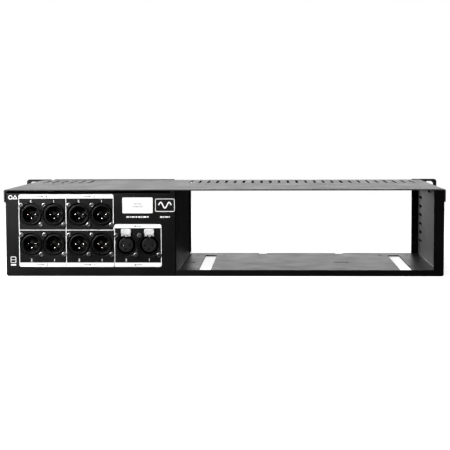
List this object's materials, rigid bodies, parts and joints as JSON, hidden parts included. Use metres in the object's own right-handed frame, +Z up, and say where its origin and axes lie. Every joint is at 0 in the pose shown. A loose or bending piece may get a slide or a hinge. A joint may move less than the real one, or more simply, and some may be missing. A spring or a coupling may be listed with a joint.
{
  "type": "rack-mount audio preamp unit",
  "caption": "Black two-unit 19 inch rack frame with an open device bay and a rear-wired audio preamp module with round three-pole sockets.",
  "frame": {"origin": "middle of the underside of the whole object's box", "axes": "+X across the rack towards the socket module, -Y out of the front, +Y out of the rear, +Z up"},
  "size_m": [0.4826, 0.2438, 0.0887],
  "materials": {
    "cover_paint": "fine-textured black powder coat",
    "tray_paint": "fine-textured black powder coat",
    "panel_paint": "fine-textured black powder coat, screen printed",
    "ear_paint": "fine-textured black powder coat",
    "faceplate_anodised": "brushed and black anodised",
    "socket_shell": "black moulded shell",
    "insert_plastic": "black moulded insert",
    "contact_plating": "silver plated",
    "latch_steel": "bare pressed metal",
    "spring_steel": "bright wire",
    "black_screws": "black zinc",
    "socket_screws": "dark zinc",
    "circuit_board": "green solder resist on glass laminate",
    "plated_hardware": "nickel plated",
    "resistor_body": "lacquered body",
    "header_plastic": "black moulding",
    "ribbon_sheath": "grey flat cable",
    "transformer_can": "screening can, dull",
    "pot_body": "pressed metal can",
    "knob_metal": "turned, fluted and black anodised",
    "button_plastic": "satin moulded cap"
  },
  "bodies": {
    "frame": {"top_cover": "cover_paint", "chassis_tray": "tray_paint", "front_subpanel": "tray_paint", "module_housing": "panel_paint", "rack_ear_left": "ear_paint", "rack_ear_right": "ear_paint", "module_faceplate": "faceplate_anodised", "output_socket_4_right": "socket_shell", "output_socket_4_left": "socket_shell", "output_socket_2_right": "socket_shell", "output_socket_2_left": "socket_shell", "output_socket_3_right": "socket_shell", "output_socket_3_left": "socket_shell", "output_socket_1_right": "socket_shell", "output_socket_1_left": "socket_shell", "input_socket_right": "socket_shell", "input_socket_left": "socket_shell", "input_insert_right": "insert_plastic", "input_insert_left": "insert_plastic", "output_socket_pins": "contact_plating", "input_socket_contacts": "contact_plating", "input_latch_spring_right": "spring_steel", "input_latch_spring_left": "spring_steel", "chassis_screws": "black_screws", "cover_screws": "black_screws", "rack_ear_screws": "black_screws", "faceplate_screws": "black_screws", "socket_screws": "socket_screws", "rear_board": "circuit_board", "main_board": "circuit_board", "front_board": "circuit_board", "main_board_standoffs": "plated_hardware", "front_board_spacers": "plated_hardware", "main_board_screws": "plated_hardware", "front_board_screws": "plated_hardware", "pot_nuts": "plated_hardware", "split_resistors": "resistor_body", "ribbon_headers": "header_plastic", "output_switches": "header_plastic", "rear_ribbon_cable": "ribbon_sheath", "front_ribbon_cable": "ribbon_sheath", "input_transformer_left": "transformer_can", "input_transformer_right": "transformer_can", "level_pot_left": "pot_body", "level_pot_right": "pot_body"},
    "latch_right": {"input_latch_right": "latch_steel"},
    "latch_left": {"input_latch_left": "latch_steel"},
    "level_left": {"level_shaft_left": "plated_hardware", "level_knob_left": "knob_metal"},
    "level_right": {"level_shaft_right": "plated_hardware", "level_knob_right": "knob_metal"},
    "button_1": {"output_button_1": "button_plastic"},
    "button_2": {"output_button_2": "button_plastic"},
    "button_3": {"output_button_3": "button_plastic"},
    "button_4": {"output_button_4": "button_plastic"}
  },
  "joints": [
    {"name": "input_latch_right_press", "type": "slide", "parent": "frame", "child": "latch_right", "axis": [0, -1, 0], "range_m": [0, 0.002], "stiffness_N_per_m": 700, "springref_m": -0.0012, "deforming": ["input_latch_spring_right"]},
    {"name": "input_latch_left_press", "type": "slide", "parent": "frame", "child": "latch_left", "axis": [0, -1, 0], "range_m": [0, 0.002], "stiffness_N_per_m": 700, "springref_m": -0.0012, "deforming": ["input_latch_spring_left"]},
    {"name": "level_left_turn", "type": "hinge", "parent": "frame", "child": "level_left", "pos_m": [0.1731, -0.1099, 0.055], "axis": [0, -1, 0], "range_deg": [-150, 150]},
    {"name": "level_right_turn", "type": "hinge", "parent": "frame", "child": "level_right", "pos_m": [0.1011, -0.1099, 0.055], "axis": [0, -1, 0], "range_deg": [-150, 150]},
    {"name": "output_button_1_press", "type": "slide", "parent": "frame", "child": "button_1", "axis": [0, 1, 0], "range_m": [0, 0.0025], "stiffness_N_per_m": 600, "springref_m": -0.0012},
    {"name": "output_button_2_press", "type": "slide", "parent": "frame", "child": "button_2", "axis": [0, 1, 0], "range_m": [0, 0.0025], "stiffness_N_per_m": 600, "springref_m": -0.0012},
    {"name": "output_button_3_press", "type": "slide", "parent": "frame", "child": "button_3", "axis": [0, 1, 0], "range_m": [0, 0.0025], "stiffness_N_per_m": 600, "springref_m": -0.0012},
    {"name": "output_button_4_press", "type": "slide", "parent": "frame", "child": "button_4", "axis": [0, 1, 0], "range_m": [0, 0.0025], "stiffness_N_per_m": 600, "springref_m": -0.0012}
  ]
}
